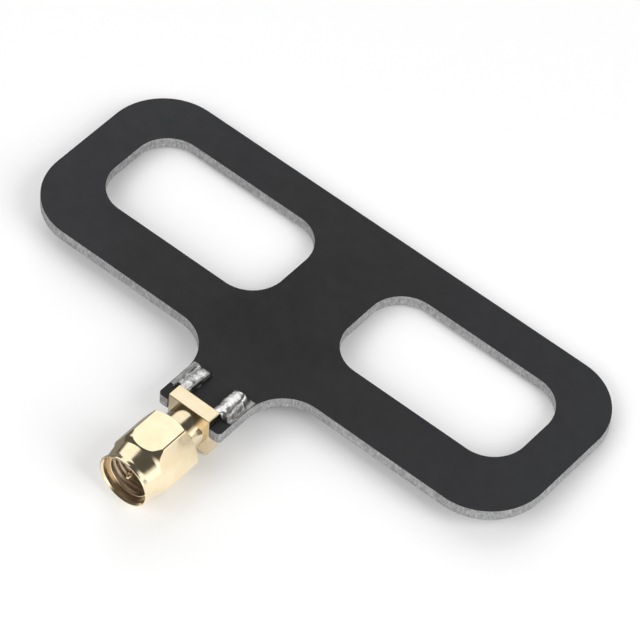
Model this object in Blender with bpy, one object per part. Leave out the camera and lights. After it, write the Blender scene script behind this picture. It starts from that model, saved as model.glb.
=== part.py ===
"""Flat double-loop circuit-board antenna with a threaded coaxial plug soldered to the end of its stem.

The origin is on the plug's axis, in the plane where its contact sleeve meets a socket. The plug points
along -Y, the board lies behind it along +Y, and +Z is the side of the board that carries no feed line.
All sizes are in metres.
"""

import math

import bmesh
import bpy
from mathutils import Vector

MM = 0.001

# Board
BOARD_WIDTH = 76.5 * MM
BOARD_DEPTH = 27.3 * MM
BOARD_THICKNESS = 1.6 * MM
BOARD_CORNER_R = 8.2 * MM
WINDOW_WIDTH = 27.0 * MM
WINDOW_DEPTH = 14.2 * MM
WINDOW_CORNER_R = 4.85 * MM
CENTRE_BAR = 10.7 * MM
NEAR_RAIL = 7.5 * MM
STEM_LENGTH = 11.0 * MM
STEM_FILLET_R = 5.75 * MM
STEM_CORNER_R = 0.6 * MM
EAR_WIDTH = 1.55 * MM
NOTCH_CLEARANCE = 0.1 * MM

# Layers on the board's two faces
COPPER = 0.035 * MM
MASK = 0.025 * MM
LAYER_GAP = 0.005 * MM
COPPER_MARGIN = 0.4 * MM
PAD_MARGIN = 0.2 * MM
PAD_LENGTH = 4.4 * MM
PAD_INSIDE = 0.2 * MM
FEED_GAP = 1.2 * MM
FEED_LINE_WIDTH = 3.0 * MM
FEED_PAD_LENGTH = 3.4 * MM
VIA_DRILL = 0.6 * MM
VIA_BORE = 0.3 * MM
VIA_PITCH = 1.5 * MM
VIA_OFFSET = 1.2 * MM

# Plug
FLANGE_SIZE = 6.35 * MM
FLANGE_THICKNESS = 2.0 * MM
FLANGE_EDGE = 0.08 * MM
LEG_WIDTH = 1.0 * MM
LEG_LENGTH = 4.2 * MM
LEG_INSET = 0.12 * MM
BARREL_D = 5.4 * MM
BARREL_LENGTH = 6.0 * MM
SLEEVE_D = 4.6 * MM
SLEEVE_WALL = 0.25 * MM
SLEEVE_LENGTH = 2.4 * MM
PIN_D = 0.92 * MM
PIN_REACH = 2.45 * MM
PIN_TAIL = 3.0 * MM
PIN_NOSE = 0.3 * MM

# Coupling nut, its ring and its gasket
NUT_FLATS = 8.0 * MM
NUT_LENGTH = 8.8 * MM
NUT_STAND_OFF = 2.8 * MM
HEX_LENGTH = 6.2 * MM
HEX_SHOULDER = 0.25 * MM
HEX_FRONT_CHAMFER = 1.55 * MM
HEX_REAR_CHAMFER = 0.5 * MM
COLLAR_WALL = 0.36 * MM
RIM_STEP = 0.14 * MM
RIM_WIDTH = 0.45 * MM
RIM_EDGE = 0.08 * MM
MOUTH_LIP = 0.1 * MM
MOUTH_DEPTH = 0.65 * MM
THREAD_DEPTH = 0.36 * MM
NUT_FLOAT = 0.3 * MM
RING_WIDTH = 0.6 * MM
RING_WALL = 0.62 * MM
RING_SETBACK = 1.2 * MM
RING_SPLIT = math.radians(28)
RING_BITE = 0.3 * MM
GASKET_WALL = 0.42 * MM
GASKET_LENGTH = 0.7 * MM

# Solder
SOLDER_TOE_IN = 0.12 * MM
SOLDER_TOE_OUT = 0.95 * MM
SOLDER_TOE_END = 0.15 * MM
SOLDER_CROWN = 0.1 * MM
SOLDER_RISE = 0.75 * MM
FEED_TOE = 0.4 * MM

# Fits
SEAT = 0.02 * MM
RUNNING_FIT = 0.06 * MM

# Fineness of round shapes
ARC_STEP = math.radians(9)
TURNED_STEPS = 48
SMALL_TURNED_STEPS = 24
VIA_STEPS = 12

# Stations along Y, from the contact plane back to the far edge
FLANGE_FRONT = BARREL_LENGTH + SLEEVE_LENGTH
FLANGE_BACK = FLANGE_FRONT + FLANGE_THICKNESS
NOTCH_BACK = FLANGE_BACK + SEAT
STEM_END = FLANGE_FRONT
NEAR_EDGE = STEM_END + STEM_LENGTH
FAR_EDGE = NEAR_EDGE + BOARD_DEPTH
PAD_START = NOTCH_BACK + PAD_MARGIN
PAD_END = PAD_START + PAD_LENGTH
WINDOW_MIDDLE = NEAR_EDGE + NEAR_RAIL + WINDOW_DEPTH / 2
FEED_HOLE = WINDOW_MIDDLE + FEED_GAP / 2 + VIA_OFFSET

# Distances from the middle plane along X
WINDOW_OFFSET = (CENTRE_BAR + WINDOW_WIDTH) / 2
NOTCH_HALF = FLANGE_SIZE / 2 + NOTCH_CLEARANCE
STEM_HALF = NOTCH_HALF + EAR_WIDTH
LEG_OUT = FLANGE_SIZE / 2 - LEG_INSET
LEG_IN = LEG_OUT - LEG_WIDTH
PAD_OUT = STEM_HALF - PAD_MARGIN
PAD_IN = LEG_IN - PAD_INSIDE

# Heights: the pin's tail lies against the underside of the board
UNDERSIDE = PIN_D / 2 + SEAT
TOP_FACE = UNDERSIDE + BOARD_THICKNESS
LEG_TOP = FLANGE_SIZE / 2 - LEG_INSET
LEG_HEIGHT = LEG_TOP - (TOP_FACE + SEAT)
CORE_TOP = TOP_FACE - MASK - COPPER - 2 * LAYER_GAP
CORE_BOTTOM = UNDERSIDE + MASK + COPPER + 2 * LAYER_GAP

# Radii of the turned pieces
BARREL_R = BARREL_D / 2
SLEEVE_R = SLEEVE_D / 2
PLUG_BORE_R = SLEEVE_R - SLEEVE_WALL
INSULATOR_R = PLUG_BORE_R - SEAT
PIN_R = PIN_D / 2
RING_GROOVE_R = BARREL_R - RING_BITE
RING_IN_R = RING_GROOVE_R + SEAT
RING_OUT_R = RING_IN_R + RING_WALL
NUT_BORE_R = BARREL_R + RUNNING_FIT
THREAD_MINOR_R = SLEEVE_R + SEAT + GASKET_WALL + RUNNING_FIT
THREAD_MAJOR_R = THREAD_MINOR_R + THREAD_DEPTH
COLLAR_R = THREAD_MAJOR_R + COLLAR_WALL
RIM_R = COLLAR_R + RIM_STEP
HEX_CORNER_R = NUT_FLATS / 2 / math.cos(math.pi / 6)

# Stations along the plug, measured forward from the flange's front face
NUT_REAR = NUT_STAND_OFF
NUT_FRONT = NUT_REAR + NUT_LENGTH
HEX_FRONT = NUT_REAR + HEX_LENGTH
RING_MIDDLE = NUT_REAR + RING_SETBACK
NUT_GROOVE = RING_WIDTH / 2 + SEAT
BODY_GROOVE = RING_WIDTH / 2 + NUT_FLOAT / 2 + SEAT
THREAD_REAR = BARREL_LENGTH + NUT_FLOAT / 2 + SEAT
SLEEVE_FRONT = BARREL_LENGTH + SLEEVE_LENGTH

MASK_BLACK = (0.030, 0.028, 0.029)
LAMINATE_GREY = (0.33, 0.32, 0.30)
COPPER_RED = (0.72, 0.33, 0.20)
TIN_SILVER = (0.62, 0.62, 0.62)
GOLD = (0.90, 0.74, 0.44)
STEEL = (0.55, 0.55, 0.53)
INSULATOR_WHITE = (0.85, 0.84, 0.80)
GASKET_RED = (0.45, 0.08, 0.05)


def clear_scene():
    for obj in list(bpy.data.objects):
        bpy.data.objects.remove(obj, do_unlink=True)


def finish(obj, colour, roughness, metallic):
    """Gives the object a material of its own."""
    material = bpy.data.materials.new(obj.name)
    material.use_nodes = True
    shader = material.node_tree.nodes["Principled BSDF"]
    shader.inputs["Base Color"].default_value = (*colour, 1.0)
    shader.inputs["Roughness"].default_value = roughness
    shader.inputs["Metallic"].default_value = metallic
    obj.data.materials.append(material)
    return obj


def add_object(name, bm, parent=None):
    mesh = bpy.data.meshes.new(name)
    bm.to_mesh(mesh)
    bm.free()
    obj = bpy.data.objects.new(name, mesh)
    bpy.context.scene.collection.objects.link(obj)
    obj.parent = parent
    return obj


def helper(obj):
    """Keeps a shape that only cuts or joins others out of the finished part."""
    obj.hide_render = True
    obj.display_type = "WIRE"
    return obj


def combine(obj, other, operation):
    modifier = obj.modifiers.new(operation.lower(), "BOOLEAN")
    modifier.operation = operation
    modifier.object = other
    modifier.solver = "EXACT"


def round_corners(corners):
    """Turns square corners (x, y, radius) of a counter-clockwise outline into arcs."""
    points = []
    count = len(corners)
    for index, (x, y, radius) in enumerate(corners):
        corner = Vector((x, y))
        before = (Vector(corners[index - 1][:2]) - corner).normalized()
        after = (Vector(corners[(index + 1) % count][:2]) - corner).normalized()
        if radius <= 0:
            points.append(corner)
            continue
        centre = corner + (before + after) * radius
        start = -after
        turn = before.cross(after)
        sweep = -math.copysign(math.pi / 2, turn)
        steps = max(3, round(math.pi / 2 / ARC_STEP))
        for step in range(steps + 1):
            angle = sweep * step / steps
            arm = Vector((start.x * math.cos(angle) - start.y * math.sin(angle),
                          start.x * math.sin(angle) + start.y * math.cos(angle)))
            points.append(centre + arm * radius)
    return points


def rectangle(x0, y0, x1, y1, radius=0.0):
    return round_corners([(x0, y0, radius), (x1, y0, radius), (x1, y1, radius), (x0, y1, radius)])


def circle(x, y, radius, steps):
    return [Vector((x + radius * math.cos(2 * math.pi * step / steps),
                    y + radius * math.sin(2 * math.pi * step / steps))) for step in range(steps)]


def board_outline(inset=0.0):
    """The outer edge of the board, or a line that lies inside it by the inset."""
    half = BOARD_WIDTH / 2 - inset
    stem = STEM_HALF - inset
    notch = NOTCH_HALF + inset
    near, far = NEAR_EDGE + inset, FAR_EDGE - inset
    end, back = STEM_END + inset, NOTCH_BACK + inset
    outer = BOARD_CORNER_R - inset
    tip = max(STEM_CORNER_R - inset, 0)
    fillet = STEM_FILLET_R + inset
    right = [(notch, end, 0), (stem, end, tip), (stem, near, fillet), (half, near, outer), (half, far, outer)]
    left = [(-x, y, radius) for x, y, radius in reversed(right)]
    return round_corners(right + left + [(-notch, back, 0), (notch, back, 0)])


def window_outline(side, inset=0.0):
    half_x = WINDOW_WIDTH / 2 + inset
    half_y = WINDOW_DEPTH / 2 + inset
    middle = side * WINDOW_OFFSET
    return rectangle(middle - half_x, WINDOW_MIDDLE - half_y, middle + half_x, WINDOW_MIDDLE + half_y,
                     WINDOW_CORNER_R + inset)


def plate(name, outline, holes, bottom, top):
    """A flat sheet between two heights, with any number of holes."""
    bm = bmesh.new()
    edges = []
    for loop in [outline] + holes:
        verts = [bm.verts.new((point.x, point.y, bottom)) for point in loop]
        edges += [bm.edges.new((verts[index - 1], verts[index])) for index in range(len(verts))]
    bmesh.ops.triangle_fill(bm, use_beauty=True, use_dissolve=False, edges=edges)
    raised = bmesh.ops.extrude_face_region(bm, geom=bm.faces[:], use_keep_orig=True)["geom"]
    moved = [item for item in raised if isinstance(item, bmesh.types.BMVert)]
    bmesh.ops.translate(bm, verts=moved, vec=(0, 0, top - bottom))
    bmesh.ops.recalc_face_normals(bm, faces=bm.faces[:])
    return add_object(name, bm)


def box(name, low, high):
    return plate(name, rectangle(low[0], low[1], high[0], high[1]), [], low[2], high[2])


def turned(name, profile, steps, parent):
    """A closed outline of (radius, station) pairs, spun about the parent's Z axis."""
    bm = bmesh.new()
    verts = [bm.verts.new((radius, 0, station)) for radius, station in profile]
    on_axis = profile[0][0] == 0 and profile[-1][0] == 0
    for index in range(1 if on_axis else 0, len(verts)):
        bm.edges.new((verts[index - 1], verts[index]))
    obj = add_object(name, bm, parent)
    screw = obj.modifiers.new("turn", "SCREW")
    screw.steps = steps
    screw.render_steps = steps
    screw.use_merge_vertices = True
    screw.merge_threshold = 1e-6
    screw.use_smooth_shade = False
    return obj


def ground_holes():
    """Centres of the plated holes that tie the upper and lower ground areas together."""
    across = (PAD_IN + PAD_OUT) / 2
    return [(side * across, PAD_END + VIA_OFFSET + row * VIA_PITCH) for side in (-1, 1) for row in (0, 1)]


def build_core():
    holes = [window_outline(side) for side in (-1, 1)]
    holes += [circle(x, y, VIA_DRILL / 2, VIA_STEPS) for x, y in ground_holes() + [(0, FEED_HOLE)]]
    core = plate("board_core", board_outline(), holes, CORE_BOTTOM, CORE_TOP)
    finish(core, LAMINATE_GREY, 0.7, 0.0)


def build_vias():
    """Plated barrels, each reaching from the lower copper to the upper copper."""
    names = [f"ground_via_{side}_{row}" for side in ("left", "right") for row in ("front", "rear")]
    for name, (x, y) in zip(names + ["feed_via"], ground_holes() + [(0, FEED_HOLE)]):
        wall = circle(x, y, VIA_DRILL / 2 - LAYER_GAP, VIA_STEPS)
        bore = circle(x, y, VIA_BORE / 2, VIA_STEPS)
        finish(plate(name, wall, [bore], CORE_BOTTOM, CORE_TOP), COPPER_RED, 0.35, 1.0)


def build_top_copper():
    """One sheet round both windows, parted across the middle bar at the feed gap."""
    edge = [window_outline(side, COPPER_MARGIN) for side in (-1, 1)]
    bottom = CORE_TOP + LAYER_GAP
    sheet = plate("top_copper", board_outline(COPPER_MARGIN), edge, bottom, bottom + COPPER)
    reach = WINDOW_OFFSET
    gap = box("feed_gap_cutter", (-reach, WINDOW_MIDDLE - FEED_GAP / 2, bottom - COPPER),
              (reach, WINDOW_MIDDLE + FEED_GAP / 2, bottom + 2 * COPPER))
    combine(sheet, helper(gap), "DIFFERENCE")
    finish(sheet, COPPER_RED, 0.35, 1.0)


def build_bottom_copper():
    """The feed line, and a ground island on each side of it under the lower legs."""
    top = CORE_BOTTOM - LAYER_GAP
    half = FEED_LINE_WIDTH / 2
    line = rectangle(-half, PAD_START, half, FEED_HOLE + half, half / 2)
    finish(plate("feed_line", line, [], top - COPPER, top), COPPER_RED, 0.35, 1.0)
    rear = PAD_END + VIA_OFFSET + VIA_PITCH + VIA_DRILL
    for word, side in (("left", -1), ("right", 1)):
        ends = sorted((side * PAD_IN, side * PAD_OUT))
        island = rectangle(ends[0], PAD_START, ends[1], rear)
        finish(plate(f"bottom_ground_{word}", island, [], top - COPPER, top), COPPER_RED, 0.35, 1.0)


def ground_pad(side, clearance):
    ends = sorted((side * PAD_IN, side * PAD_OUT))
    return rectangle(ends[0] + clearance, PAD_START + clearance, ends[1] - clearance, PAD_END - clearance)


def feed_pad(clearance):
    half = PIN_R + FEED_TOE - clearance
    return rectangle(-half, PAD_START + clearance, half, PAD_START + FEED_PAD_LENGTH - clearance)


def build_masks():
    windows = [window_outline(side) for side in (-1, 1)]
    pads = [ground_pad(side, 0) for side in (-1, 1)]
    upper = plate("top_mask", board_outline(), windows + pads, TOP_FACE - MASK, TOP_FACE)
    lower = plate("bottom_mask", board_outline(), windows + pads + [feed_pad(0)], UNDERSIDE, UNDERSIDE + MASK)
    for mask in (upper, lower):
        finish(mask, MASK_BLACK, 0.5, 0.0)


def build_pads():
    """Tin on the copper that the masks leave bare."""
    for word, side in (("left", -1), ("right", 1)):
        outline = ground_pad(side, LAYER_GAP)
        upper = plate(f"top_pad_{word}", outline, [], TOP_FACE - MASK, TOP_FACE)
        lower = plate(f"bottom_pad_{word}", outline, [], UNDERSIDE, UNDERSIDE + MASK)
        finish(upper, TIN_SILVER, 0.3, 1.0)
        finish(lower, TIN_SILVER, 0.3, 1.0)
    feed = plate("feed_pad", feed_pad(LAYER_GAP), [], UNDERSIDE, UNDERSIDE + MASK)
    finish(feed, TIN_SILVER, 0.3, 1.0)


def leg_boxes(clearance=0.0):
    """Low and high corners of the four legs, named by face and side, starting inside the flange."""
    legs = {}
    front, rear = FLANGE_BACK - FLANGE_THICKNESS / 2, FLANGE_BACK + LEG_LENGTH + clearance
    levels = {"top": (TOP_FACE + SEAT, LEG_TOP), "bottom": (UNDERSIDE - SEAT - LEG_HEIGHT, UNDERSIDE - SEAT)}
    for face, (low, high) in levels.items():
        for word, side in (("left", -1), ("right", 1)):
            ends = sorted((side * LEG_IN, side * LEG_OUT))
            legs[f"{face}_{word}"] = ((ends[0] - clearance, front, low - clearance),
                                      (ends[1] + clearance, rear, high + clearance))
    return legs


def build_plug_body(axis):
    """Square flange with four legs, joined to the turned barrel and sleeve, bored right through."""
    half = FLANGE_SIZE / 2
    body = box("plug_body", (-half, FLANGE_FRONT, -half), (half, FLANGE_BACK, half))
    edge = body.modifiers.new("edge", "BEVEL")
    edge.width = FLANGE_EDGE
    edge.segments = 2
    edge.limit_method = "ANGLE"
    for name, (low, high) in leg_boxes().items():
        combine(body, helper(box(f"leg_{name}", low, high)), "UNION")
    root = -FLANGE_THICKNESS / 2
    groove_front, groove_rear = RING_MIDDLE + BODY_GROOVE, RING_MIDDLE - BODY_GROOVE
    profile = [(0, SLEEVE_FRONT), (SLEEVE_R, SLEEVE_FRONT), (SLEEVE_R, BARREL_LENGTH),
               (BARREL_R, BARREL_LENGTH), (BARREL_R, groove_front), (RING_GROOVE_R, groove_front),
               (RING_GROOVE_R, groove_rear), (BARREL_R, groove_rear), (BARREL_R, root), (0, root)]
    combine(body, helper(turned("barrel_and_sleeve", profile, TURNED_STEPS, axis)), "UNION")
    over = FLANGE_THICKNESS
    bore = [(0, SLEEVE_FRONT + over), (PLUG_BORE_R, SLEEVE_FRONT + over),
            (PLUG_BORE_R, -FLANGE_THICKNESS - over), (0, -FLANGE_THICKNESS - over)]
    combine(body, helper(turned("plug_bore_cutter", bore, TURNED_STEPS, axis)), "DIFFERENCE")
    finish(body, GOLD, 0.18, 1.0)


def build_insulator(axis):
    inner = PIN_R + SEAT
    profile = [(inner, SLEEVE_FRONT), (INSULATOR_R, SLEEVE_FRONT),
               (INSULATOR_R, -FLANGE_THICKNESS), (inner, -FLANGE_THICKNESS)]
    finish(turned("insulator", profile, SMALL_TURNED_STEPS, axis), INSULATOR_WHITE, 0.5, 0.0)


def build_centre_pin(axis):
    """The contact, with a tapered nose in front and a tail that lies along the feed pad."""
    tip = SLEEVE_FRONT + PIN_REACH
    tail = -FLANGE_THICKNESS - PIN_TAIL
    profile = [(0, tip), (PIN_R / 2, tip), (PIN_R, tip - PIN_NOSE), (PIN_R, tail), (0, tail)]
    finish(turned("centre_pin", profile, SMALL_TURNED_STEPS, axis), GOLD, 0.2, 1.0)


def build_coupling_nut(axis):
    """A turned blank, cut to a hexagon by a six-sided prism that clears its round collar."""
    flat_r = NUT_FLATS / 2
    flat_front = HEX_FRONT - HEX_SHOULDER
    corner_front, corner_rear = flat_front - HEX_FRONT_CHAMFER, NUT_REAR + HEX_REAR_CHAMFER
    groove_rear, groove_front = RING_MIDDLE - NUT_GROOVE, RING_MIDDLE + NUT_GROOVE
    groove_r = RING_OUT_R + SEAT
    face_r = RIM_R - RIM_EDGE
    rim_rear = NUT_FRONT - RIM_WIDTH
    profile = [(THREAD_MINOR_R, NUT_FRONT - MOUTH_DEPTH), (face_r - MOUTH_LIP, NUT_FRONT),
               (face_r, NUT_FRONT), (RIM_R, NUT_FRONT - RIM_EDGE), (RIM_R, rim_rear),
               (COLLAR_R, rim_rear - RIM_STEP), (COLLAR_R, HEX_FRONT), (flat_r, flat_front),
               (HEX_CORNER_R, corner_front), (HEX_CORNER_R, corner_rear),
               (flat_r, NUT_REAR), (NUT_BORE_R, NUT_REAR), (NUT_BORE_R, groove_rear), (groove_r, groove_rear),
               (groove_r, groove_front), (NUT_BORE_R, groove_front), (NUT_BORE_R, THREAD_REAR),
               (THREAD_MINOR_R, THREAD_REAR)]
    nut = turned("coupling_nut", profile, TURNED_STEPS, axis)
    bm = bmesh.new()
    spare = HEX_LENGTH
    ends = []
    for station in (NUT_REAR - spare, NUT_FRONT + spare):
        corners = circle(0, 0, HEX_CORNER_R, 6)
        ends.append([bm.verts.new((point.x, point.y, station)) for point in corners])
    for corner in range(6):
        bm.faces.new((ends[0][corner - 1], ends[0][corner], ends[1][corner], ends[1][corner - 1]))
    bm.faces.new(reversed(ends[0]))
    bm.faces.new(ends[1])
    combine(nut, helper(add_object("hexagon_prism", bm, axis)), "INTERSECT")
    finish(nut, GOLD, 0.15, 1.0)


def build_retaining_ring(axis):
    """A split ring, half sunk in the barrel's groove and half in the nut's."""
    rear, front = RING_MIDDLE - RING_WIDTH / 2, RING_MIDDLE + RING_WIDTH / 2
    section = [(RING_IN_R, front), (RING_OUT_R, front), (RING_OUT_R, rear), (RING_IN_R, rear)]
    bm = bmesh.new()
    sweep = 2 * math.pi - RING_SPLIT
    slices = []
    for step in range(TURNED_STEPS + 1):
        angle = math.pi / 2 + RING_SPLIT / 2 + sweep * step / TURNED_STEPS
        slices.append([bm.verts.new((radius * math.cos(angle), radius * math.sin(angle), station))
                       for radius, station in section])
    for first, second in zip(slices, slices[1:]):
        for corner in range(4):
            bm.faces.new((first[corner - 1], first[corner], second[corner], second[corner - 1]))
    bm.faces.new(slices[0])
    bm.faces.new(slices[-1])
    bmesh.ops.recalc_face_normals(bm, faces=bm.faces[:])
    finish(add_object("retaining_ring", bm, axis), STEEL, 0.3, 1.0)


def build_gasket(axis):
    rear = BARREL_LENGTH + SEAT
    inner, outer = SLEEVE_R + SEAT, SLEEVE_R + SEAT + GASKET_WALL
    profile = [(inner, rear + GASKET_LENGTH), (outer, rear + GASKET_LENGTH), (outer, rear), (inner, rear)]
    finish(turned("gasket", profile, TURNED_STEPS, axis), GASKET_RED, 0.7, 0.0)


def mound(name, base, crown, base_z, crown_z):
    """A heap with a rectangular foot and a smaller rectangular crown, each (x0, y0, x1, y1)."""
    bm = bmesh.new()
    rings = []
    for (x0, y0, x1, y1), z in ((base, base_z), (crown, crown_z)):
        rings.append([bm.verts.new(point) for point in ((x0, y0, z), (x1, y0, z), (x1, y1, z), (x0, y1, z))])
    bm.faces.new(rings[0])
    bm.faces.new(rings[1])
    for corner in range(4):
        bm.faces.new((rings[0][corner - 1], rings[0][corner], rings[1][corner], rings[1][corner - 1]))
    bmesh.ops.recalc_face_normals(bm, faces=bm.faces[:])
    return add_object(name, bm)


def build_leg_solder():
    """A fillet round three sides of each leg, on its pad."""
    for name, (low, high) in leg_boxes(SEAT).items():
        outer_left = "left" in name
        toe_low = SOLDER_TOE_OUT if outer_left else SOLDER_TOE_IN
        toe_high = SOLDER_TOE_IN if outer_left else SOLDER_TOE_OUT
        front = FLANGE_BACK + PAD_MARGIN
        base = (low[0] - toe_low, front, high[0] + toe_high, high[1] + SOLDER_TOE_END)
        crown = (low[0] - SOLDER_CROWN, front, high[0] + SOLDER_CROWN, high[1] + SOLDER_CROWN)
        if "top" in name:
            foot, peak = TOP_FACE + SEAT, TOP_FACE + SEAT + SOLDER_RISE
        else:
            foot, peak = UNDERSIDE - SEAT, UNDERSIDE - SEAT - SOLDER_RISE
        joint = mound(f"solder_{name}", base, crown, foot, peak)
        combine(joint, helper(box(f"solder_cutter_{name}", low, high)), "DIFFERENCE")
        finish(joint, TIN_SILVER, 0.25, 1.0)


def build_feed_solder(axis):
    """A fillet along both sides and round the end of the pin's tail."""
    half = PIN_R + FEED_TOE
    front, rear = PAD_START, FLANGE_BACK + PIN_TAIL + SOLDER_TOE_END
    base = (-half + LAYER_GAP, front, half - LAYER_GAP, rear)
    crown = (-PIN_R - SOLDER_CROWN, front, PIN_R + SOLDER_CROWN, rear - SOLDER_TOE_END / 2)
    joint = mound("solder_feed", base, crown, UNDERSIDE - SEAT, 0)
    tail = -FLANGE_THICKNESS - PIN_TAIL - SEAT
    profile = [(0, 0), (PIN_R + SEAT, 0), (PIN_R + SEAT, tail), (0, tail)]
    combine(joint, helper(turned("pin_cutter", profile, SMALL_TURNED_STEPS, axis)), "DIFFERENCE")
    finish(joint, TIN_SILVER, 0.25, 1.0)


def build_plug(axis):
    build_plug_body(axis)
    build_insulator(axis)
    build_centre_pin(axis)
    build_gasket(axis)
    build_retaining_ring(axis)
    build_coupling_nut(axis)


def main():
    clear_scene()
    axis = bpy.data.objects.new("plug_axis", None)
    axis.location = (0, FLANGE_FRONT, 0)
    axis.rotation_euler = (math.pi / 2, 0, 0)
    bpy.context.scene.collection.objects.link(axis)
    build_core()
    build_vias()
    build_top_copper()
    build_bottom_copper()
    build_masks()
    build_pads()
    build_plug(axis)
    build_leg_solder()
    build_feed_solder(axis)


main()
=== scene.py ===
import math

import bmesh
import bpy
import numpy as np
from mathutils import Matrix, Vector


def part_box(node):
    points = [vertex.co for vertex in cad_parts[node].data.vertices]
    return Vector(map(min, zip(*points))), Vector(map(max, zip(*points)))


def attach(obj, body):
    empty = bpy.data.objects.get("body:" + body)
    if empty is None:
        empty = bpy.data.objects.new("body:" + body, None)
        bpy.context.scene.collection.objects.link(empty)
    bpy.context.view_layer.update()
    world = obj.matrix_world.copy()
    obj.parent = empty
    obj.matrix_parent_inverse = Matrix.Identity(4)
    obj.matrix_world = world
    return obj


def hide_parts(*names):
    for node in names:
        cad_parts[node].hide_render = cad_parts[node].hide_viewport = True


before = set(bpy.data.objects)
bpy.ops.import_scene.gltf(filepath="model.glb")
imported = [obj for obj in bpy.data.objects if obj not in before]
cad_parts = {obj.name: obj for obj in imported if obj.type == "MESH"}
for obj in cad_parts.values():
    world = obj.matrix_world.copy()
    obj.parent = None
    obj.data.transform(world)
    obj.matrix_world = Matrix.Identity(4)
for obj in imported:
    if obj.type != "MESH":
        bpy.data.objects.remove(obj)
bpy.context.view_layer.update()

# The board is a routed sheet of glass-fibre laminate, a T with two windows that leave two loops.
# Its cut edges are pale grey and show the plies and the router's marks.
# Every other layer of the board is bonded to its two faces.
mm = 0.001
core_low, core_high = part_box("board_core")
board_corner_r = 8.2 * mm
board_depth = 27.3 * mm
window_width = 27.0 * mm
window_depth = 14.2 * mm
window_corner_r = 4.85 * mm
centre_bar = 10.7 * mm
near_rail = 7.5 * mm
stem_half = 4.825 * mm
stem_fillet_r = 5.75 * mm
stem_corner_r = 0.6 * mm
notch_half = 3.275 * mm
notch_depth = 2.02 * mm
rim_of_resin = 0.3 * mm
mask_top_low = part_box("top_mask")[0].z
mask_bottom_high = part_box("bottom_mask")[1].z
arc_step = math.radians(3)
merge_gap = 1e-7
sheet_crease = 20
ply_grain = (180, 180, 5000)
ply_share = 0.35
router_grain = (4200, 4200, 1500)
laminate_grey = (0.325, 0.328, 0.328, 1)
fibre_pale = (0.475, 0.480, 0.480, 1)
resin_dark = (0.215, 0.215, 0.212, 1)


def rounded(corners):
    """Turns (x, y, radius) corners of a closed outline into points, with an arc at each radius."""
    points = []
    for index, (x, y, radius) in enumerate(corners):
        here = Vector((x, y))
        back = (Vector(corners[index - 1][:2]) - here).normalized()
        ahead = (Vector(corners[(index + 1) % len(corners)][:2]) - here).normalized()
        if radius == 0:
            points.append(here)
            continue
        half = back.angle(ahead) / 2
        centre = here + (back + ahead).normalized() * radius / math.sin(half)
        arm = here + back * radius / math.tan(half) - centre
        sweep = math.copysign(math.pi - 2 * half, ahead.cross(back))
        count = max(3, math.ceil(abs(sweep) / arc_step))
        for step in range(count + 1):
            points.append(centre + Matrix.Rotation(sweep * step / count, 2) @ arm)
    return points


def rectangle(x0, y0, x1, y1, radius=0):
    return rounded([(x0, y0, radius), (x1, y0, radius), (x1, y1, radius), (x0, y1, radius)])


def board_outline(inset=0):
    """The T with the notch for the flange, drawn in by an inset."""
    half, near, far = core_high.x - inset, core_high.y - board_depth + inset, core_high.y - inset
    end, back = core_low.y + inset, core_low.y + notch_depth + inset
    notch, stem = notch_half + inset, stem_half - inset
    right = [(notch, end, 0), (stem, end, stem_corner_r - inset), (stem, near, stem_fillet_r + inset),
             (half, near, board_corner_r - inset), (half, far, board_corner_r - inset)]
    left = [(-x, y, radius) for x, y, radius in reversed(right)]
    return rounded(right + left + [(-notch, back, 0), (notch, back, 0)])


def window_outlines(inset=0):
    """The two windows; an inset draws the board in, so it widens them."""
    near = core_high.y - board_depth + near_rail - inset
    inner, outer = centre_bar / 2 - inset, centre_bar / 2 + window_width + inset
    return [rectangle(x0, near, x1, near + window_depth + 2 * inset, window_corner_r + inset)
            for x0, x1 in ((-outer, -inner), (inner, outer))]


def in_scene(name, data):
    """A new object, put in the scene."""
    obj = bpy.data.objects.new(name, data)
    bpy.context.scene.collection.objects.link(obj)
    return obj


def add_piece(name, mesh, body, slot, material, *nodes):
    """Puts a finished mesh in the scene, on its body, in place of its solids."""
    mesh.name = name
    mesh.materials.clear()
    mesh.materials.append(material)
    piece = in_scene(name, mesh)
    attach(piece, body)
    if nodes:
        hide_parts(*nodes)
    return piece


def evaluated_mesh(obj):
    """The object's shape with its modifiers done, as a plain mesh; the object itself goes."""
    bpy.context.view_layer.update()
    mesh = bpy.data.meshes.new_from_object(obj.evaluated_get(bpy.context.evaluated_depsgraph_get()))
    bpy.data.objects.remove(obj, do_unlink=True)
    return mesh


def smooth_to(mesh, degrees):
    """Smooth shading, with a sharp edge wherever two faces turn by more than the degrees."""
    mesh.shade_smooth()
    mesh.set_sharp_from_angle(angle=math.radians(degrees))
    return mesh


def clean(mesh):
    """Merges doubled points and turns every face outwards."""
    bm = bmesh.new()
    bm.from_mesh(mesh)
    bmesh.ops.remove_doubles(bm, verts=bm.verts, dist=merge_gap)
    bmesh.ops.recalc_face_normals(bm, faces=bm.faces)
    bm.to_mesh(mesh)
    bm.free()
    return mesh


def flat_sheet(name, loops, low, high, edge):
    """A flat sheet between two heights; the first loop is its outline, the rest are holes."""
    curve = bpy.data.curves.new(name, "CURVE")
    curve.dimensions = "2D"
    curve.fill_mode = "BOTH"
    curve.extrude = ((high - low) / 2 - edge) / mm
    curve.bevel_depth = edge / mm
    curve.bevel_resolution = 1
    curve.offset = -edge / mm
    for loop in loops:
        spline = curve.splines.new("POLY")
        spline.points.add(len(loop) - 1)
        for point, place in zip(spline.points, loop):
            point.co = (place.x / mm, place.y / mm, 0, 1)
        spline.use_cyclic_u = True
    mesh = evaluated_mesh(in_scene(name, curve))
    mesh.transform(Matrix.Translation((0, 0, (low + high) / 2)) @ Matrix.Scale(mm, 4))
    return smooth_to(clean(mesh), sheet_crease)


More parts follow.
